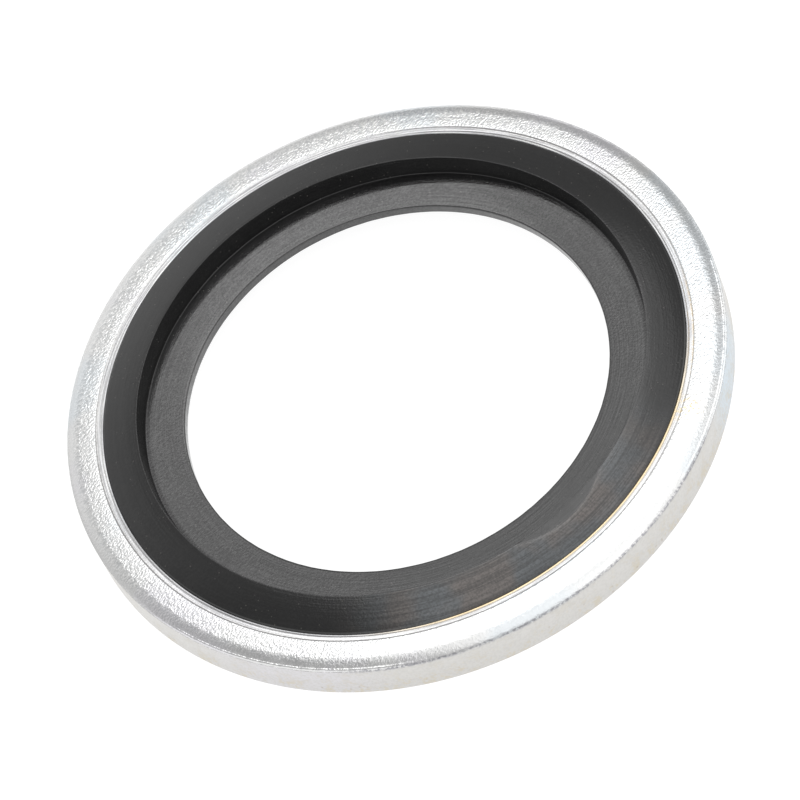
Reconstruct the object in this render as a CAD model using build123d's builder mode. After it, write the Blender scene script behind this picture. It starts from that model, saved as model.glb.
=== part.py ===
from build123d import *
import math
import os

# Self-centring bonded sealing washer for a 1/2 inch pipe thread: a flat steel ring with a rubber
# seal moulded onto its bore. Sizes are in millimetres. +Z is the axis of the washer, and z = 0 is
# the surface that it lies on, which touches the crest of its lower lip.

# Steel ring, blanked from strip. The punch rolls the upper outer edge over and leaves the lower
# one nearly square.
ring_bore_diameter = 25.2
ring_width = 1.69
ring_thickness = 1.85
roll_over_width = 0.65
roll_over_depth = 0.22
lower_corner_chamfer = 0.08
bore_corner_chamfer = 0.07

# Band beside the bore, on both faces, that the mould pressed smooth when it closed on the ring.
clamp_band_width = 0.31
clamp_band_depth = 0.03
clamp_step_width = 0.04

# Rubber seal. Each face has a lip, highest at its mouth, which falls in a cone to the ring's bore.
lip_width = 1.58
lip_height = 0.35
lip_crest_width = 0.16
lip_crest_chamfer = 0.04
lip_root_gap = 0.08

# The mouth narrows by the mould's draft down to a thin fin, which tapers to its bore and centres
# the washer on a thread.
mouth_draft_angle = 5.5
mouth_foot_chamfer = 0.1
fin_reach = 1.82
fin_root_thickness = 0.6
fin_edge_thickness = 0.45
fin_edge_radius = 0.12

half_ring = ring_thickness / 2
ring_bore_radius = ring_bore_diameter / 2
ring_outside_radius = ring_bore_radius + ring_width
clamp_band_radius = ring_bore_radius + clamp_band_width
clamp_band_level = half_ring - clamp_band_depth
bond_half_height = clamp_band_level - bore_corner_chamfer
lip_level = half_ring + lip_height
fin_root_level = fin_root_thickness / 2
fin_edge_level = fin_edge_thickness / 2
lip_mouth_radius = ring_bore_radius - lip_width
fin_bore_radius = lip_mouth_radius - fin_reach
mouth_foot_inset = (lip_level - fin_root_level) * math.tan(math.radians(mouth_draft_angle))

# Both sections are drawn about the middle of the ring's thickness: local Y runs up from there,
# and local X is the distance from the axis.
middle_of_ring = lip_level
section_plane = Plane(origin=(0, 0, middle_of_ring), x_dir=(1, 0, 0), z_dir=(0, -1, 0))

with BuildPart() as steel_ring:
    with BuildSketch(section_plane) as ring_section:
        with BuildLine():
            Polyline(
                (ring_outside_radius - roll_over_width, half_ring),
                (clamp_band_radius + clamp_step_width, half_ring),
                (clamp_band_radius, clamp_band_level),
                (ring_bore_radius, clamp_band_level),
                (ring_bore_radius, -clamp_band_level),
                (clamp_band_radius, -clamp_band_level),
                (clamp_band_radius + clamp_step_width, -half_ring),
                (ring_outside_radius, -half_ring),
                (ring_outside_radius, half_ring - roll_over_depth),
            )
            TangentArc(
                (ring_outside_radius - roll_over_width, half_ring),
                (ring_outside_radius, half_ring - roll_over_depth),
                tangent=(1, 0),
            )
        make_face()
        bore_corners = ring_section.vertices().group_by(Axis.X)[0]
        lower_corner = ring_section.vertices().group_by(Axis.X)[-1].sort_by(Axis.Y)[0]
        chamfer(bore_corners, bore_corner_chamfer)
        chamfer(lower_corner, lower_corner_chamfer)
    revolve(axis=Axis.Z)

with BuildPart() as rubber_seal:
    with BuildSketch(section_plane) as seal_section:
        with BuildLine():
            Polyline(
                (ring_bore_radius, 0),
                (ring_bore_radius, bond_half_height),
                (ring_bore_radius - lip_root_gap, half_ring),
                (lip_mouth_radius + lip_crest_width, lip_level),
                (lip_mouth_radius, lip_level),
                (lip_mouth_radius - mouth_foot_inset, fin_root_level),
                (fin_bore_radius, fin_edge_level),
                (fin_bore_radius, 0),
                close=True,
            )
        make_face()
        mirror(about=Plane.XZ)
        crests = seal_section.vertices().filter_by(lambda v: abs(v.Y) > half_ring + lip_height / 2)
        feet = seal_section.vertices().filter_by(lambda v: abs(abs(v.Y) - fin_root_level) < 1e-6)
        chamfer(crests.group_by(Axis.X)[0], lip_crest_chamfer)
        chamfer(feet, mouth_foot_chamfer)
        fillet(seal_section.vertices().group_by(Axis.X)[0], fin_edge_radius)
    revolve(axis=Axis.Z)

steel_ring.part.label = "steel_ring"
rubber_seal.part.label = "rubber_seal"

os.makedirs("parts", exist_ok=True)
export_step(steel_ring.part, "parts/steel_ring.step")
export_step(rubber_seal.part, "parts/rubber_seal.step")
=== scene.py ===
import math

import bpy
import numpy as np
from mathutils import Matrix, Vector


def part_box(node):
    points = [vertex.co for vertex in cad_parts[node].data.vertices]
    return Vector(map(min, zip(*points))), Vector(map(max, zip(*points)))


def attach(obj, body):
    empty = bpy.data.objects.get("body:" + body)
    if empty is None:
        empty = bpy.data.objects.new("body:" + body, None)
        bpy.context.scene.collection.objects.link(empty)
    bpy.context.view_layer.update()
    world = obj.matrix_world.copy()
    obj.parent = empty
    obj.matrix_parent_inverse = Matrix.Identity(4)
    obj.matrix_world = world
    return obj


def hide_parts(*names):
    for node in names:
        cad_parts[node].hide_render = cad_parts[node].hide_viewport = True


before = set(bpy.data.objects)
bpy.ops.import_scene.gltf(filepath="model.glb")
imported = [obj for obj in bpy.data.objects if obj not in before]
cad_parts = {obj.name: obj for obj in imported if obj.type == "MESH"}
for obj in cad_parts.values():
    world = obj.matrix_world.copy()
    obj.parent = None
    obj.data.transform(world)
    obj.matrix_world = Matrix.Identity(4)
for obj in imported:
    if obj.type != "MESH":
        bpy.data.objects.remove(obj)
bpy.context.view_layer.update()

# ------------------------------------------------------------------------------------------------
# Steel ring. The flat ring that carries the seal, blanked from steel strip, zinc plated and given
# a clear passivate. Blanking rolls its upper outer edge over. The strip's own grain shows on its
# faces, and the smooth band beside the bore is where the mould closed on it.
# ------------------------------------------------------------------------------------------------
steel_low, steel_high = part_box("steel_ring")
steel_outside = min(steel_high.x, -steel_low.x, steel_high.y, -steel_low.y)
steel_top = steel_high.z
steel_bottom = steel_low.z
steel_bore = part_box("rubber_seal")[1].x

roll_over_width = 0.00065
roll_over_depth = 0.00022
roll_over_radius = 0.00107
shoulder_radius = 0.000025
lower_edge_radius = 0.00010
bore_edge_radius = 0.00006
band_width = 0.00031
band_depth = 0.00003
band_step = 0.00006
band_edge_radius = 0.00003
groove_gap = 0.00006
groove_width = 0.00003
groove_depth = 0.000012
bead_height = 0.000048
bead_inset = 0.00007
bead_half_width = 0.00010
bead_middle = math.radians(281)
bead_start = math.radians(34)
bead_end = math.radians(80)
bead_fade = 0.18
ragged_depth = 0.000003
ring_columns = 640
sag_depth = 0.000022
sag_middle = 0.0139
sag_half_width = 0.00075


def rounded_section(corners, radii, stride, arc_stride, arc_angle):
    """A closed section that runs round its corners, each one rounded to its own radius.

    At a corner the arc begins and ends radius / tan(half the angle) along the two sides, and its
    centre is radius / sin(half the angle) along the bisector. What is left of each side is divided
    evenly, in strides, and each arc in arc strides or in arc angles, whichever are the shorter."""
    corners = np.array(corners, float)
    radii = np.array(radii, float)[:, None]
    back = np.roll(corners, 1, axis=0) - corners
    ahead = np.roll(corners, -1, axis=0) - corners
    back /= np.linalg.norm(back, axis=1, keepdims=True)
    ahead /= np.linalg.norm(ahead, axis=1, keepdims=True)
    half_angle = np.arccos((back * ahead).sum(axis=1, keepdims=True)) / 2
    bisector = (back + ahead) / np.linalg.norm(back + ahead, axis=1, keepdims=True)
    centres = corners + bisector * radii / np.sin(half_angle)
    starts = corners + back * radii / np.tan(half_angle)
    ends = corners + ahead * radii / np.tan(half_angle)
    stretches = []
    for centre, start, end, onward in zip(centres, starts, ends, np.roll(starts, -1, axis=0)):
        arm = start - centre
        across = np.array([-arm[1], arm[0]])
        turn = math.atan2(across @ (end - centre), arm @ (end - centre))
        parts = abs(turn) * max(1 / arc_angle, np.linalg.norm(arm) / arc_stride)
        angles = np.linspace(0, turn, math.ceil(parts) + 1)[:, None]
        stretches.append(centre + arm * np.cos(angles) + across * np.sin(angles))
        count = math.ceil(np.linalg.norm(onward - end) / stride) + 1
        stretches.append(np.linspace(end, onward, count)[1:-1])
    return np.concatenate(stretches)


def turned(name, section, columns, shape, marks):
    """A closed mesh made by carrying a section once round the washer's axis.

    Point (radius, height) of the section, at angle a, stands at (radius cos a, radius sin a,
    height). shape(radius, height, angle) first bends the grid of radii and heights. Marks are point
    attributes: a name, and values for the points of the section or for the whole grid. The UV map
    runs once round in u and once along the section in v."""
    rows = len(section)
    angle = np.arange(columns) * 2 * math.pi / columns
    radius, height = shape(section[:, :1], section[:, 1:], angle[None, :])
    axes = np.broadcast_arrays(radius * np.cos(angle), radius * np.sin(angle), height)
    points = np.stack(axes, axis=-1)
    row, column = np.meshgrid(np.arange(rows), np.arange(columns), indexing="ij")
    rows_of_quad = np.stack([row, row, row + 1, row + 1], axis=-1)
    columns_of_quad = np.stack([column, column + 1, column + 1, column], axis=-1)
    quads = (rows_of_quad % rows) * columns + columns_of_quad % columns
    mesh = bpy.data.meshes.new(name)
    mesh.from_pydata(points.reshape(-1, 3), [], quads.reshape(-1, 4))
    uv = np.stack([columns_of_quad / columns, rows_of_quad / rows], axis=-1)
    mesh.uv_layers.new(name="Turn").data.foreach_set("uv", uv.ravel().astype(np.float32))
    for mark, values in marks.items():
        attribute = mesh.attributes.new(mark, "FLOAT", "POINT")
        values = np.broadcast_to(values, (rows, columns)).ravel()
        attribute.data.foreach_set("value", values.astype(np.float32))
    mesh.polygons.foreach_set("use_smooth", np.ones(len(mesh.polygons), bool))
    mesh.validate()
    piece = bpy.data.objects.new(name, mesh)
    bpy.context.scene.collection.objects.link(piece)
    return piece


def ramp(values, start, end):
    """Rises smoothly from 0 where values are at start to 1 where they are at end."""
    x = np.clip((values - start) / (end - start), 0, 1)
    return x * x * (3 - 2 * x)


def unevenness(angle, slowest, fastest, seed):
    """A random wave that closes on itself round the turn, about 1 high.

    It is a sum of cosines with every whole number of waves from slowest to fastest, each with its
    own random phase and height."""
    random = np.random.default_rng(seed)
    waves = np.arange(slowest, fastest + 1)[:, None]
    phases = random.uniform(0, 2 * math.pi, waves.shape)
    heights = random.normal(size=waves.shape)
    wave = (heights * np.cos(waves * angle + phases)).sum(axis=0)
    return wave / (2 * wave.std())


def ring_shape(radius, height, angle):
    """Lets the upper face sag towards its roll-over and roughens the shoulder.

    The sag is a squared bell curve of radius. The shoulder is drawn in by a small random wave,
    which fades out over the wall and the roll-over. On both sides of the front, a low bead runs
    along the inside of the shoulder. Its section is a squared bell curve of radius too."""
    on_top = ramp(height, shoulder_level - 0.0001, shoulder_level)
    sag = sag_depth * np.clip(1 - ((radius - sag_middle) / sag_half_width) ** 2, 0, 1) ** 2
    near_shoulder = ramp(radius, steel_outside - 0.0002, steel_outside)
    near_shoulder = near_shoulder * ramp(height, shoulder_level - 0.0003, shoulder_level)
    ragged = ragged_depth * (1 + unevenness(angle, 60, 260, seed=3).clip(-1, 1))
    from_crest = (radius - steel_outside + bead_inset) / bead_half_width
    from_front = abs((angle - bead_middle + math.pi) % (2 * math.pi) - math.pi)
    bead = bead_height * np.clip(1 - from_crest ** 2, 0, 1) ** 2 * on_top
    bead = bead * ramp(from_front, bead_start - bead_fade, bead_start)
    bead = bead * (1 - ramp(from_front, bead_end - bead_fade, bead_end))
    bead = bead * (0.7 + 0.3 * unevenness(angle, 100, 300, seed=4).clip(-1, 1))
    round_radius = radius - near_shoulder * ragged
    round_height = height - on_top * sag - near_shoulder * ragged / 2 + bead
    return round_radius, round_height


shoulder_level = steel_top - roll_over_depth
band_edge = steel_bore + band_width
band_level = steel_top - band_depth
groove_middle = steel_bore + bore_edge_radius + groove_gap
roll_over_angle = 2 * math.atan(roll_over_depth / roll_over_width)
roll_over_reach = roll_over_radius * math.tan(roll_over_angle / 2)
ring_section = rounded_section(
    corners=[
        (groove_middle + groove_width, band_level),
        (groove_middle, band_level - groove_depth),
        (groove_middle - groove_width, band_level),
        (steel_bore, band_level),
        (steel_bore, steel_bottom + band_depth),
        (band_edge, steel_bottom + band_depth),
        (band_edge + band_step, steel_bottom),
        (steel_outside, steel_bottom),
        (steel_outside, shoulder_level),
        (steel_outside - roll_over_width + roll_over_reach, steel_top),
        (band_edge + band_step, steel_top),
        (band_edge, band_level),
    ],
    radii=[
        groove_width / 4,
        groove_width / 4,
        groove_width / 4,
        bore_edge_radius,
        bore_edge_radius,
        band_edge_radius,
        band_edge_radius,
        lower_edge_radius,
        shoulder_radius,
        roll_over_radius * 0.98,
        band_edge_radius,
        band_edge_radius,
    ],
    stride=0.00012,
    arc_stride=0.00002,
    arc_angle=math.radians(11),
)
ring_radius, ring_height = ring_section[:, :1], ring_section[:, 1:]
on_wall = ramp(ring_radius, steel_outside - 0.00001, steel_outside)
on_band = 1 - ramp(ring_radius, band_edge - 0.00002, band_edge + band_step)
on_step = ramp(ring_radius, band_edge - 0.00002, band_edge)
on_step = on_step - ramp(ring_radius, band_edge + 0.00003, band_edge + 0.00006)
in_groove = 1 - ramp(abs(ring_radius - groove_middle), 0, groove_width)
on_upper_side = ring_height > steel_top - 0.0001
# Where painted shade lies: along the step and in the groove, on the upper side only.
on_seam_shade = np.maximum(on_step, in_groove * 0.8) * on_upper_side
on_brink = ramp(ring_radius, steel_outside - 0.00010, steel_outside - 0.00004)
on_brink = on_brink * ramp(ring_height, shoulder_level - 0.00005, shoulder_level)
on_rim = 1 - ramp(ring_radius, steel_bore + 0.00006, steel_bore + 0.00018)
steel_ring = turned(
    "plated_steel_ring",
    ring_section,
    columns=ring_columns,
    shape=ring_shape,
    marks={"wall": on_wall, "band": on_band, "seam_shade": on_seam_shade, "rim": on_rim, "brink": on_brink},
)


def add(tree, kind, inputs=None, **settings):
    """Adds one node. Its inputs are plain values, or sockets that it is then linked to."""
    made = tree.nodes.new(kind)
    for setting, value in settings.items():
        setattr(made, setting, value)
    for socket, value in (inputs or {}).items():
        if isinstance(value, bpy.types.NodeSocket):
            tree.links.new(value, made.inputs[socket])
        else:
            made.inputs[socket].default_value = value
    return made


def maths(tree, operation, first, second=0.0, third=0.0):
    """One sum on values or sockets."""
    inputs = {0: first, 1: second, 2: third}
    return add(tree, "ShaderNodeMath", inputs, operation=operation).outputs[0]


def product(tree, *factors):
    """All the factors multiplied together."""
    total = factors[0]
    for factor in factors[1:]:
        total = maths(tree, "MULTIPLY", total, factor)
    return total


def mixed(tree, first, second, share):
    """Two values mixed, the second in this share."""
    return maths(tree, "MULTIPLY_ADD", second, share, product(tree, first, 1 - share))


def lessened(tree, value, share):
    """1, less this share of the value."""
    return maths(tree, "MULTIPLY_ADD", value, -share, 1.0)


def fade(tree, value, start, end, low=0.0, high=1.0):
    """Goes smoothly from low to high as value goes from start to end."""
    inputs = {"Value": value, "From Min": start, "From Max": end, "To Min": low, "To Max": high}
    return add(tree, "ShaderNodeMapRange", inputs, interpolation_type="SMOOTHSTEP").outputs[0]


def blend_colours(tree, share, below, above):
    """The colour below, covered by the colour above in this share."""
    below, above = ((*colour, 1) if isinstance(colour, tuple) else colour for colour in (below, above))
    inputs = {0: share, 6: below, 7: above}
    return add(tree, "ShaderNodeMix", inputs, data_type="RGBA").outputs[2]


def noise(tree, place, scale, detail):
    """Plain noise, with features about 1 / scale metres across."""
    inputs = {"Vector": place, "Scale": scale, "Detail": detail}
    return add(tree, "ShaderNodeTexNoise", inputs).outputs[0]


def bump(tree, height, distance, strength=1.0, on_top_of=None):
    """The normal of a relief this many metres deep, on top of another one where there is one."""
    inputs = {"Strength": strength, "Distance": distance, "Height": height}
    if on_top_of is not None:
        inputs["Normal"] = on_top_of
    return add(tree, "ShaderNodeBump", inputs).outputs[0]


def new_group(name, inputs, outputs):
    """An empty shader group with named inputs, each with its value, and named outputs."""
    group = bpy.data.node_groups.new(name, "ShaderNodeTree")
    for socket, value in inputs.items():
        kind = "NodeSocketVector" if value is None else "NodeSocketFloat"
        made = group.interface.new_socket(socket, in_out="INPUT", socket_type=kind)
        if value is not None:
            made.default_value = value
    for socket in outputs:
        group.interface.new_socket(socket, in_out="OUTPUT", socket_type="NodeSocketFloat")
    start = group.nodes.new("NodeGroupInput").outputs
    end = group.nodes.new("NodeGroupOutput").inputs
    return group, start, end


def build_grain_group():
    """Fine grain of a rolled or moulded surface: noise, longer along the lay than across it.

    Height is the relief, and Patches is a slow drift over several grains."""
    inputs = {"Vector": None, "Size": 0.0001, "Length": 1.5, "Lay": 0.4}
    group, start, end = new_group("Fine grain", inputs, ["Height", "Patches"])
    angle = product(group, start["Lay"], -1.0)
    inputs = {"Vector": start["Vector"], "Angle": angle}
    turned_to_lay = add(group, "ShaderNodeVectorRotate", inputs, rotation_type="Z_AXIS")
    shrink = maths(group, "DIVIDE", 1.0, start["Length"])
    squeeze = add(group, "ShaderNodeCombineXYZ", {"X": shrink, "Y": 1.0, "Z": 1.0})
    inputs = {0: turned_to_lay.outputs[0], 1: squeeze.outputs[0]}
    stretched = add(group, "ShaderNodeVectorMath", inputs, operation="MULTIPLY").outputs[0]
    scale = maths(group, "DIVIDE", 1.0, start["Size"])
    inputs = {"Vector": stretched, "Scale": scale, "Detail": 1.5, "Roughness": 0.6}
    fine = add(group, "ShaderNodeTexNoise", inputs).outputs[0]
    group.links.new(fine, end["Height"])
    group.links.new(noise(group, stretched, product(group, scale, 0.12), detail=2.0), end["Patches"])
    return group


def build_streak_group():
    """Streaks that run round the axis, such as turning marks or the flow lines of a moulding.

    The noise is read at (direction * mean radius / Length, (radius + height) / Spacing), so a
    streak is narrow across the section and long round it."""
    inputs = {"Vector": None, "Spacing": 0.00008, "Length": 0.004}
    group, start, end = new_group("Round streaks", inputs, ["Height"])
    inputs = {0: start["Vector"], 1: (1, 1, 0)}
    flat = add(group, "ShaderNodeVectorMath", inputs, operation="MULTIPLY").outputs[0]
    radius = add(group, "ShaderNodeVectorMath", {0: flat}, operation="LENGTH").outputs["Value"]
    direction = add(group, "ShaderNodeVectorMath", {0: flat}, operation="NORMALIZE").outputs[0]
    mean_radius = 0.012
    reach = maths(group, "DIVIDE", mean_radius, start["Length"])
    inputs = {0: direction, "Scale": reach}
    along = add(group, "ShaderNodeVectorMath", inputs, operation="SCALE").outputs[0]
    height = add(group, "ShaderNodeSeparateXYZ", {0: start["Vector"]}).outputs["Z"]
    across = maths(group, "DIVIDE", maths(group, "ADD", radius, height), start["Spacing"])
    upward = add(group, "ShaderNodeCombineXYZ", {"Z": across}).outputs[0]
    place = add(group, "ShaderNodeVectorMath", {0: along, 1: upward}, operation="ADD").outputs[0]
    inputs = {"Vector": place, "Scale": 1.0, "Detail": 3.0, "Roughness": 0.6}
    streaks = add(group, "ShaderNodeTexNoise", inputs).outputs[0]
    group.links.new(streaks, end["Height"])
    return group


def build_speck_group():
    """Specks of dust: the middles of some of the cells of a Voronoi pattern.

    Size is the spacing of the cells, Share is the part of them that hold a speck, and Reach is
    how far a speck spreads in its cell."""
    inputs = {"Vector": None, "Size": 0.0004, "Share": 0.2, "Reach": 0.15}
    group, start, end = new_group("Specks", inputs, ["Mask"])
    inputs = {"Vector": start["Vector"], "Scale": maths(group, "DIVIDE", 1.0, start["Size"])}
    cells = add(group, "ShaderNodeTexVoronoi", inputs).outputs
    cell_value = add(group, "ShaderNodeSeparateColor", {0: cells["Color"]}).outputs[0]
    chosen = maths(group, "LESS_THAN", cell_value, start["Share"])
    away = maths(group, "DIVIDE", cells["Distance"], start["Reach"])
    near = maths(group, "SUBTRACT", 1.0, away)
    speck = add(group, "ShaderNodeClamp", {"Value": product(group, chosen, near)}).outputs[0]
    group.links.new(speck, end["Mask"])
    return group


fine_grain = build_grain_group()
round_streaks = build_streak_group()
specks = build_speck_group()


def place_group(tree, group, **inputs):
    """One of the shared effects in a material, with its values."""
    return add(tree, "ShaderNodeGroup", inputs, node_tree=group).outputs


def new_material(name):
    """An empty material: its tree, its Principled shader and the Object coordinates."""
    material = bpy.data.materials.new(name)
    material.use_nodes = True
    tree = material.node_tree
    tree.nodes.clear()
    shader = tree.nodes.new("ShaderNodeBsdfPrincipled")
    output = tree.nodes.new("ShaderNodeOutputMaterial")
    tree.links.new(shader.outputs[0], output.inputs["Surface"])
    place = tree.nodes.new("ShaderNodeTexCoord").outputs["Object"]
    return material, tree, shader, place


def mark_of(tree, name):
    """The value of one of the mesh's marks."""
    return add(tree, "ShaderNodeAttribute", attribute_name=name).outputs["Fac"]


zinc_white = (0.74, 0.74, 0.735)
zinc_warm = (0.65, 0.64, 0.62)
zinc_straw = (0.60, 0.55, 0.45)
zinc_blue = (0.68, 0.72, 0.75)
zinc_lavender = (0.72, 0.71, 0.74)
# Grey of the painted shade along the step and the groove.
seam_shade_grey = (0.46, 0.45, 0.44)
rim_gold = (0.76, 0.60, 0.35)
line_gold = (0.60, 0.48, 0.32)
band_grey = (0.44, 0.44, 0.45)
foot_grey = (0.56, 0.55, 0.53)
# Grey of the painted shade on the brink of the near side.
brink_shade_grey = (0.38, 0.38, 0.40)
# Painted shade for the low points of the grain, and painted highlights for its high points.
pit_shade_grey = (0.42, 0.45, 0.47)
painted_glint_white = (0.95, 0.95, 0.94)
wall_blue = (0.60, 0.70, 0.78)
wall_lavender = (0.68, 0.67, 0.71)
stain_brown = (0.40, 0.34, 0.27)
grain_size = 0.000085
grain_lay = math.radians(24)
grain_relief = 0.000017
line_spacing = 0.00006
line_relief = 0.000004
foot_top = 0.0016
foot_bottom = 0.0007
line_fades_from = 0.0095
line_ends_at = 0.0118
blue_spot = {"centre": (0.0127, -0.0067, 0.001), "edge": 0.0035, "middle": 0.0012}
lavender_spot = {"centre": (-0.0088, -0.0112, 0.001), "edge": 0.0050, "middle": 0.0015}
gold_line_spot = {"centre": (0.0121, -0.0044, 0.0022), "edge": 0.0032, "middle": 0.0015}
gold_speck_spot = {"centre": (0.0103, -0.0082, 0.0022), "edge": 0.0009, "middle": 0.0002}
gilt_spot = {"centre": (0.0045, -0.0118, 0.0022), "edge": 0.0110, "middle": 0.0055}
# Where the painted shade on the brink lies.
brink_shade_spot = {"centre": (0.0025, -0.0141, 0.002), "edge": 0.0105, "middle": 0.0080}
smooth_spot = {"centre": (0.0025, -0.0135, 0.0022), "edge": 0.0100, "middle": 0.0065}


def patch(tree, place, centre, edge, middle):
    """1 up to the middle distance from the centre, then falling smoothly to 0 at the edge."""
    away = add(tree, "ShaderNodeVectorMath", {0: place, 1: centre}, operation="DISTANCE")
    return fade(tree, away.outputs["Value"], edge, middle)


def clouded_zinc(tree, place, height, grain, grain_depth):
    """Zinc in faint clouds of blue and lavender, which a thin passivate gives it. On the flat of the face,
    painted shade darkens the low points of its grain and painted highlights brighten its high points."""
    clouds = noise(tree, place, scale=230.0, detail=3.0)
    colour = blend_colours(tree, fade(tree, clouds, 0.52, 0.68, 0.0, 0.7), zinc_white, zinc_blue)
    colour = blend_colours(tree, fade(tree, clouds, 0.48, 0.34, 0.0, 0.7), colour, zinc_lavender)
    flat = fade(tree, height, steel_top - 0.00012, steel_top - 0.00003)
    on_flat = product(tree, grain_depth, flat)
    # Painted shade in the low points of the grain and painted highlights on its high points, in the base
    # colour.
    pit_shade = product(tree, fade(tree, grain["Height"], 0.54, 0.38, 0.0, 0.25), on_flat)
    colour = blend_colours(tree, pit_shade, colour, pit_shade_grey)
    painted_glints = product(tree, fade(tree, grain["Height"], 0.50, 0.64, 0.0, 0.35), on_flat)
    return blend_colours(tree, painted_glints, colour, painted_glint_white)


def stained_wall(tree, place, height, colour, haze, flecks):
    """The wall is a warmer zinc, with one blue and one lavender patch. The passivate dried at its
    foot and left grey grit, straw-coloured stains and brown spots there."""
    wall = mark_of(tree, "wall")
    foot = fade(tree, height, foot_top, foot_bottom, 0.25, 1.0)
    colour = blend_colours(tree, wall, colour, zinc_warm)
    blue = product(tree, wall, patch(tree, place, **blue_spot), 0.9)
    colour = blend_colours(tree, blue, colour, wall_blue)
    lavender = product(tree, wall, patch(tree, place, **lavender_spot), 0.7)
    colour = blend_colours(tree, lavender, colour, wall_lavender)
    grit = fade(tree, noise(tree, place, scale=9000.0, detail=3.0), 0.4, 0.65)
    grit = maths(tree, "MULTIPLY_ADD", grit, 0.45, product(tree, foot, 0.3))
    colour = blend_colours(tree, product(tree, grit, wall), colour, foot_grey)
    stain = fade(tree, mixed(tree, haze, flecks, 0.45), 0.50, 0.60)
    colour = blend_colours(tree, product(tree, stain, foot, wall, 0.7), colour, zinc_straw)
    spots = place_group(tree, specks, Vector=place, Size=0.00033, Share=0.3, Reach=0.22)["Mask"]
    return blend_colours(tree, product(tree, spots, foot, wall, 0.8), colour, stain_brown)


def marked_band(tree, place, farness, colour, lines, flecks):
    """The band is dull along its fine lines. Painted shade lies in a broken grey line along the step round
    it and in the groove by the bore; it fades out on the far side and is golden on one stretch, with
    golden specks near it. The rim at the bore is golden along its near side."""
    band = mark_of(tree, "band")
    dull = product(tree, band, fade(tree, lines["Height"], 0.40, 0.56, 0.15, 0.95))
    colour = blend_colours(tree, dull, colour, band_grey)
    # Painted shade along the step and the groove, fading out on the far side.
    not_far = fade(tree, farness, line_ends_at, line_fades_from)
    broken = fade(tree, flecks, 0.40, 0.56, 0.25, 0.9)
    line = product(tree, mark_of(tree, "seam_shade"), not_far, broken)
    gold_line = patch(tree, place, **gold_line_spot)
    line_colour = blend_colours(tree, gold_line, seam_shade_grey, line_gold)
    colour = blend_colours(tree, line, colour, line_colour)
    gilt = product(tree, mark_of(tree, "rim"), patch(tree, place, **gilt_spot), 0.9)
    colour = blend_colours(tree, gilt, colour, rim_gold)
    gold_specks = product(tree, patch(tree, place, **gold_speck_spot), fade(tree, flecks, 0.48, 0.60), 0.8)
    return blend_colours(tree, gold_specks, colour, rim_gold)


def plated_steel():
    """Zinc with a clear passivate, on the grained faces, the smooth band and the plain wall.

    The grain is nearly gone from the band and the wall, and half as deep on the near side of the face.
    Along the near side, painted shade darkens the brink between face and wall in broken flecks."""
    material, tree, shader, place = new_material("plated_steel")
    wall = mark_of(tree, "wall")
    band = mark_of(tree, "band")
    axes = add(tree, "ShaderNodeSeparateXYZ", {0: place}).outputs
    haze = noise(tree, place, scale=1500.0, detail=3.0)
    flecks = noise(tree, place, scale=7000.0, detail=2.0)
    grain = place_group(tree, fine_grain, Vector=place, Size=grain_size, Length=1.4, Lay=grain_lay)
    lines = place_group(tree, round_streaks, Vector=place, Spacing=line_spacing, Length=0.003)

    smooth = maths(tree, "MAXIMUM", wall, band)
    near_side = patch(tree, place, **smooth_spot)
    grain_depth = product(tree, lessened(tree, smooth, 0.88), lessened(tree, near_side, 0.5))
    relief = bump(tree, grain["Height"], grain_relief, strength=grain_depth)
    relief = bump(tree, lines["Height"], line_relief, strength=band, on_top_of=relief)
    tree.links.new(relief, shader.inputs["Normal"])

    colour = clouded_zinc(tree, place, axes["Z"], grain, grain_depth)
    colour = stained_wall(tree, place, axes["Z"], colour, haze, flecks)
    colour = marked_band(tree, place, axes["Y"], colour, lines, flecks)
    # Painted shade on the brink along the near side, broken into flecks.
    brink_shade_flecks = fade(tree, flecks, 0.40, 0.58, 0.15, 0.95)
    brink_shade = product(tree, mark_of(tree, "brink"), patch(tree, place, **brink_shade_spot), brink_shade_flecks)
    colour = blend_colours(tree, brink_shade, colour, brink_shade_grey)
    tree.links.new(colour, shader.inputs["Base Color"])

    shader.inputs["Metallic"].default_value = 1.0
    roughness = maths(tree, "MULTIPLY_ADD", wall, 0.12, 0.21)
    roughness = maths(tree, "ADD", roughness, fade(tree, haze, 0.3, 0.7, -0.03, 0.05))
    tree.links.new(roughness, shader.inputs["Roughness"])
    return material


steel_ring.data.materials.append(plated_steel())
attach(steel_ring, "root")
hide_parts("steel_ring")

# ------------------------------------------------------------------------------------------------
# Rubber seal. One moulding of black nitrile rubber, cured and bonded onto the steel's bore in a
# single step. Each face has a lip that is highest at its mouth, and a thin fin reaches in from the
# middle of the section to centre the washer on a thread.
# ------------------------------------------------------------------------------------------------
rubber_low, rubber_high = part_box("rubber_seal")
rubber_top = rubber_high.z
rubber_middle = (rubber_high.z + rubber_low.z) / 2

lip_width = 0.00158
lip_crest_width = 0.00004
lip_crest_radius = 0.000015
lip_shoulder_radius = 0.00010
lip_root_gap = 0.00006
lip_root_depth = 0.00006
lip_root_radius = 0.00003
bond_edge_radius = 0.00002
lip_crown = 0.00003
crest_sway = 0.000008
edge_nibble = 0.000004
mouth_foot_inset = 0.000094
mouth_foot_radius = 0.00003
seal_columns = 384
# The near arc of the lips that carries painted sheen.
sheen_angle = math.radians(281)
sheen_reach = math.radians(44)
pressed_depth = 0.000095
pressed_angle = math.radians(290.5)
pressed_reach = math.radians(12)
fin_reach = 0.00182
fin_root_thickness = 0.0006
fin_edge_thickness = 0.00045
fin_edge_radius = 0.00006

mouth_radius = steel_bore - lip_width
fin_bore = mouth_radius - fin_reach
half_height = rubber_top - rubber_middle
half_steel = steel_top - rubber_middle
half_root = fin_root_thickness / 2
half_edge = fin_edge_thickness / 2

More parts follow.
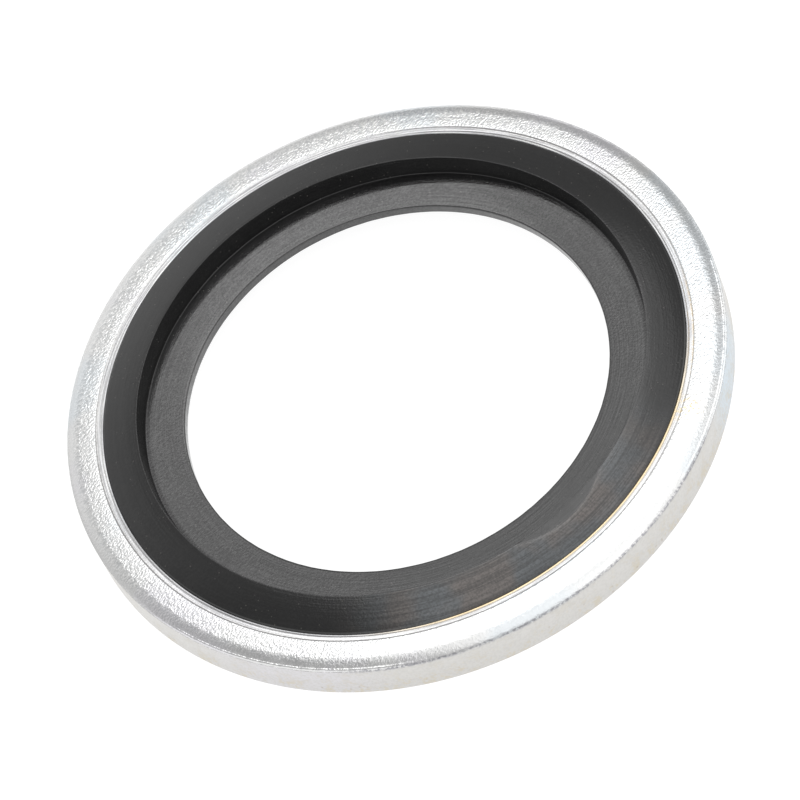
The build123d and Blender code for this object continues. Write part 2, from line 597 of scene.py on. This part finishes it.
upper_corners = [
    (steel_bore, half_steel - lip_root_depth),
    (steel_bore - lip_root_gap, half_steel),
    (mouth_radius + lip_crest_width, half_height),
    (mouth_radius, half_height),
    (mouth_radius - mouth_foot_inset, half_root),
    (fin_bore, half_edge),
]
upper_radii = [
    bond_edge_radius,
    lip_root_radius,
    lip_shoulder_radius,
    lip_crest_radius,
    mouth_foot_radius,
    fin_edge_radius,
]
seal_corners = upper_corners + [(radius, -height) for radius, height in reversed(upper_corners)]
seal_section = rounded_section(
    corners=[(radius, height + rubber_middle) for radius, height in seal_corners],
    radii=upper_radii + upper_radii[::-1],
    stride=0.00006,
    arc_stride=0.00006,
    arc_angle=math.radians(12),
)


def pressed_level(angle):
    """How high the upper lip reaches at each angle."""
    share = 1 - ((angle - pressed_angle) / pressed_reach) ** 2
    return rubber_top - pressed_depth * share.clip(0, 1)


def seal_shape(radius, height, angle):
    """Crowns the lips a little and makes the crest and the fin's edge slightly uneven.

    Over one short arc the upper lip's crest is pressed flat, by a depth that falls off with the
    square of the angle from the middle of the arc."""
    up = np.sign(height - rubber_middle)
    along = np.clip((radius - mouth_radius - lip_crest_width) / (lip_width - lip_crest_width), 0, 1)
    on_lip = ramp(abs(height - rubber_middle), half_steel - 0.0001, half_steel)
    crown = lip_crown * 4 * along * (1 - along) * on_lip
    near_mouth = ramp(radius, fin_bore + fin_reach / 2, mouth_radius)
    near_mouth = near_mouth * (1 - ramp(radius, mouth_radius, mouth_radius + 0.0004))
    near_edge = 1 - ramp(radius, fin_bore, fin_bore + 0.0005)
    sway = crest_sway * unevenness(angle, 2, 40, seed=11) * near_mouth
    nibble = edge_nibble * (1 + unevenness(angle, 3, 120, seed=12).clip(-1, 1)) * near_edge
    return radius + sway + nibble, np.minimum(height + up * crown, pressed_level(angle))


seal_radius, seal_height = seal_section[:, :1], seal_section[:, 1:]
turn_angle = np.arange(seal_columns) * 2 * math.pi / seal_columns
on_fin = 1 - ramp(seal_radius, mouth_radius - 0.00035, mouth_radius - 0.0002)
from_press = pressed_level(turn_angle) - seal_height
on_press = (1 - ramp(from_press, 0, 0.00001)) * (pressed_level(turn_angle) < rubber_top)
on_lip = ramp(seal_radius, mouth_radius - 0.00002, mouth_radius + 0.00006)
from_sheen = abs(turn_angle - sheen_angle) / sheen_reach
# Painted sheen on the near arc of the lips, but not on the pressed arc.
on_sheen = on_lip * (1 - on_press) * (1 - ramp(from_sheen, 0.45, 1))
rubber_seal = turned(
    "moulded_rubber_seal",
    seal_section,
    columns=seal_columns,
    shape=seal_shape,
    marks={"fin": np.maximum(on_fin, on_press * 0.25), "lip_sheen": on_sheen},
)

rubber_black = (0.002, 0.002, 0.0022)
rubber_grey = (0.008, 0.008, 0.008)
# Tints of the painted sheen on the near arc of the lips.
sheen_brown = (0.123, 0.108, 0.100)
sheen_blue = (0.094, 0.103, 0.110)
dust_grey = (0.20, 0.19, 0.17)
rubber_grain_size = 0.00010
rubber_grain_relief = 0.000005
streak_spacing = 0.00007
streak_length = 0.005
streak_relief = 0.000006
dust_spacing = 0.00024
calm_spot = {"centre": (0.0031, -0.0096, 0.0016), "edge": 0.0085, "middle": 0.0050}


def painted_sheen(tree, place, colour, streaks, grain):
    """Part of the lip, on its near side, carries painted sheen in brownish and bluish tints, weaker along
    the streaks and in the grain."""
    sheen_streaks = fade(tree, streaks["Height"], 0.38, 0.60, 0.50, 1.0)
    sheen_grain = fade(tree, grain["Height"], 0.38, 0.60, 0.65, 1.0)
    lip_sheen = product(tree, mark_of(tree, "lip_sheen"), sheen_streaks, sheen_grain)
    tints = fade(tree, noise(tree, place, scale=450.0, detail=2.0), 0.41, 0.59)
    sheen_colour = blend_colours(tree, tints, sheen_brown, sheen_blue)
    return blend_colours(tree, lip_sheen, colour, sheen_colour)


def black_rubber():
    """Moulded nitrile: a black lip and a glossier fin, where wax has bloomed on it.

    Both are mottled, the near side less than the rest, and carry flow streaks that run round the
    axis and a little dust. The pressed arc of the lip has a quarter of the fin's gloss."""
    material, tree, shader, place = new_material("black_rubber")
    streaks = place_group(
        tree, round_streaks, Vector=place, Spacing=streak_spacing, Length=streak_length
    )
    grain = place_group(
        tree, fine_grain, Vector=place, Size=rubber_grain_size, Length=1.0, Lay=0.0
    )
    dust = place_group(tree, specks, Vector=place, Size=dust_spacing, Share=0.45, Reach=0.17)

    mottled = lessened(tree, patch(tree, place, **calm_spot), 0.6)
    mottle = mixed(tree, grain["Height"], grain["Patches"], 0.2)
    mottle = mixed(tree, mottle, streaks["Height"], 0.35)
    mottle = maths(tree, "MULTIPLY_ADD", maths(tree, "SUBTRACT", mottle, 0.5), mottled, 0.5)
    colour = blend_colours(tree, fade(tree, mottle, 0.42, 0.58), rubber_black, rubber_grey)
    # Painted sheen on the near arc of the lips.
    colour = painted_sheen(tree, place, colour, streaks, grain)
    colour = blend_colours(tree, product(tree, dust["Mask"], 0.42), colour, dust_grey)
    tree.links.new(colour, shader.inputs["Base Color"])

    relief = bump(tree, streaks["Height"], streak_relief)
    relief = bump(tree, grain["Height"], rubber_grain_relief, strength=mottled, on_top_of=relief)
    tree.links.new(relief, shader.inputs["Normal"])
    tree.links.new(fade(tree, mottle, 0.38, 0.62, 0.20, 0.12), shader.inputs["Roughness"])
    shader.inputs["IOR"].default_value = 1.6
    gloss = product(tree, mark_of(tree, "fin"), fade(tree, mottle, 0.38, 0.62, 0.40, 0.76))
    tree.links.new(gloss, shader.inputs["Coat Weight"])
    shader.inputs["Coat IOR"].default_value = 1.6
    shader.inputs["Coat Roughness"].default_value = 0.045
    return material


rubber_seal.data.materials.append(black_rubber())
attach(rubber_seal, "root")
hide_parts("rubber_seal")

# ------------------------------------------------------------------------------------------------
# Table. A white surface that the washer lies on. It shows white to the camera and in reflections,
# and keeps a soft share of the shadow.
# ------------------------------------------------------------------------------------------------
table_radius = 1.5
table_columns = 128
table_colour = (0.82, 0.82, 0.82)
table_glow = 0.93
table_lit_share = 0.25


def round_table():
    """A flat disc: a fan of triangles round its middle, at the height of the washer's lowest lip."""
    column = np.arange(table_columns)
    angle = column * 2 * math.pi / table_columns
    rim = np.stack([table_radius * np.cos(angle), table_radius * np.sin(angle), 0 * angle], axis=-1)
    points = np.concatenate([np.zeros((1, 3)), rim])
    fan = np.stack([0 * column, 1 + column, 1 + (column + 1) % table_columns], axis=-1)
    mesh = bpy.data.meshes.new("table")
    mesh.from_pydata(points, [], fan)
    return bpy.data.objects.new("table", mesh)


def white_table():
    """Plain diffuse white. Seen directly or in a reflection, most of it is an even white glow."""
    material = bpy.data.materials.new("white_table")
    material.use_nodes = True
    tree = material.node_tree
    tree.nodes.clear()
    light_path = tree.nodes.new("ShaderNodeLightPath").outputs
    seen = maths(tree, "MAXIMUM", light_path["Is Camera Ray"], light_path["Is Glossy Ray"])
    seen = maths(tree, "MAXIMUM", seen, light_path["Is Transmission Ray"])
    part_lit_colour = [level * table_lit_share for level in table_colour]
    plain = add(tree, "ShaderNodeBsdfDiffuse", {"Color": (*table_colour, 1)})
    part_lit = add(tree, "ShaderNodeBsdfDiffuse", {"Color": (*part_lit_colour, 1)})
    glow = add(tree, "ShaderNodeEmission", {"Color": (1, 1, 1, 1), "Strength": table_glow})
    shown = add(tree, "ShaderNodeAddShader", {0: part_lit.outputs[0], 1: glow.outputs[0]})
    surface = add(tree, "ShaderNodeMixShader", {0: seen, 1: plain.outputs[0], 2: shown.outputs[0]})
    output = tree.nodes.new("ShaderNodeOutputMaterial")
    tree.links.new(surface.outputs[0], output.inputs["Surface"])
    return material


table = round_table()
bpy.context.scene.collection.objects.link(table)
table.data.materials.append(white_table())

# ------------------------------------------------------------------------------------------------
# Light. A large soft box overhead and a smaller, brighter one behind it, in a pale room.
# ------------------------------------------------------------------------------------------------
washer_middle = Vector((0, 0, steel_top))


def soft_box(name, place, width, length, radiance):
    """A rectangular lamp that faces the washer from a place above it. Its length runs front to
    back, and its power is pi times its area times its radiance."""
    lamp = bpy.data.lights.new(name, "AREA")
    lamp.shape = "RECTANGLE"
    lamp.size = width
    lamp.size_y = length
    lamp.energy = radiance * math.pi * width * length
    holder = bpy.data.objects.new(name, lamp)
    back = Vector(place).normalized()
    across = Vector((0, 1, 0)).cross(back).normalized()
    turn = Matrix((across, back.cross(across), back)).transposed().to_4x4()
    holder.matrix_world = Matrix.Translation(washer_middle + Vector(place)) @ turn
    holder.visible_camera = False
    bpy.context.scene.collection.objects.link(holder)


soft_box("overhead_box", place=(0.060, 0.040, 0.35), width=0.28, length=0.50, radiance=0.75)
soft_box("inner_box", place=(0.036, 0.177, 0.336), width=0.158, length=0.131, radiance=1.25)


room_level = 0.55
room_patches = (
    {"aim": (-0.40, 0.78, 0.48), "edge": 36, "middle": 8, "strength": 0.42},
    {"aim": (0.45, 0.75, 0.50), "edge": 42, "middle": 15, "strength": -0.06},
    {"aim": (-0.50, 0.30, 0.81), "edge": 38, "middle": 14, "strength": -0.12},
    {"aim": (-0.18, 0.64, 0.75), "edge": 13, "middle": 5, "strength": -0.25},
    {"aim": (-0.15, 0.93, 0.33), "edge": 24, "middle": 8, "strength": 0.10},
    {"aim": (0.80, -0.20, 0.50), "edge": 50, "middle": 15, "strength": 0.60},
    {"aim": (0.92, 0.30, 0.08), "edge": 34, "middle": 16, "strength": 0.50},
    {"aim": (0.00, -0.85, 0.45), "edge": 45, "middle": 22, "strength": -0.10},
    {"aim": (0.00, -0.97, 0.22), "edge": 56, "middle": 20, "strength": 0.50},
    {"aim": (-0.93, -0.35, 0.12), "edge": 56, "middle": 26, "strength": 0.55},
)


def with_patch(tree, level, direction, aim, edge, middle, strength):
    """The level, with a soft round patch of this strength added where the direction is within
    its edge of the aim. Edge and middle are in degrees."""
    inputs = {0: direction, 1: Vector(aim).normalized()}
    towards = add(tree, "ShaderNodeVectorMath", inputs, operation="DOT_PRODUCT").outputs["Value"]
    ends = math.cos(math.radians(edge)), math.cos(math.radians(middle))
    return maths(tree, "MULTIPLY_ADD", fade(tree, towards, *ends), strength, level)


def pale_room():
    """A pale room, by direction. It is brighter on both sides, low in front and behind on the
    left, and a little darker high up behind and on the left."""
    world = bpy.data.worlds.new("room")
    world.use_nodes = True
    tree = world.node_tree
    background = tree.nodes["Background"]
    background.inputs["Color"].default_value = (1, 1, 1, 1)
    direction = tree.nodes.new("ShaderNodeTexCoord").outputs["Generated"]
    level = room_level
    for room_patch in room_patches:
        level = with_patch(tree, level, direction, **room_patch)
    tree.links.new(level, background.inputs["Strength"])
    bpy.context.scene.world = world


pale_room()

# ------------------------------------------------------------------------------------------------
# Camera. It looks down on the washer from in front, rolled about its own axis.
# ------------------------------------------------------------------------------------------------
picture_size = 800
sensor_width = 0.036
camera_distance = 0.189
camera_elevation = math.radians(51.608)
camera_roll = math.radians(25.516)
focal_pixels = 4531.2
middle_across = 390.32
middle_down = 374.58


def aim_camera():
    """Turns the camera to the washer, rolls it, then pans and tilts it until the middle of the
    steel's upper face lies at its place in the picture."""
    off_axis = middle_across - picture_size / 2
    off_level = picture_size / 2 - middle_down
    pan = math.atan2(off_axis, focal_pixels)
    tilt = math.atan2(off_level, math.hypot(focal_pixels, off_axis))
    backward = Vector((0, -math.cos(camera_elevation), math.sin(camera_elevation)))
    camera = bpy.data.cameras.new("camera")
    camera.sensor_width = sensor_width * 1000
    camera.lens = focal_pixels * camera.sensor_width / picture_size
    camera.clip_start = 0.01
    holder = bpy.data.objects.new("camera", camera)
    look = Matrix.Rotation(math.pi / 2 - camera_elevation, 4, "X")
    roll = Matrix.Rotation(-camera_roll, 4, "Z")
    turn = Matrix.Rotation(-tilt, 4, "X") @ Matrix.Rotation(pan, 4, "Y")
    place = Matrix.Translation(washer_middle + backward * camera_distance)
    holder.matrix_world = place @ look @ roll @ turn
    bpy.context.scene.collection.objects.link(holder)
    bpy.context.scene.camera = holder


aim_camera()
bpy.context.scene.view_settings.view_transform = "Standard"
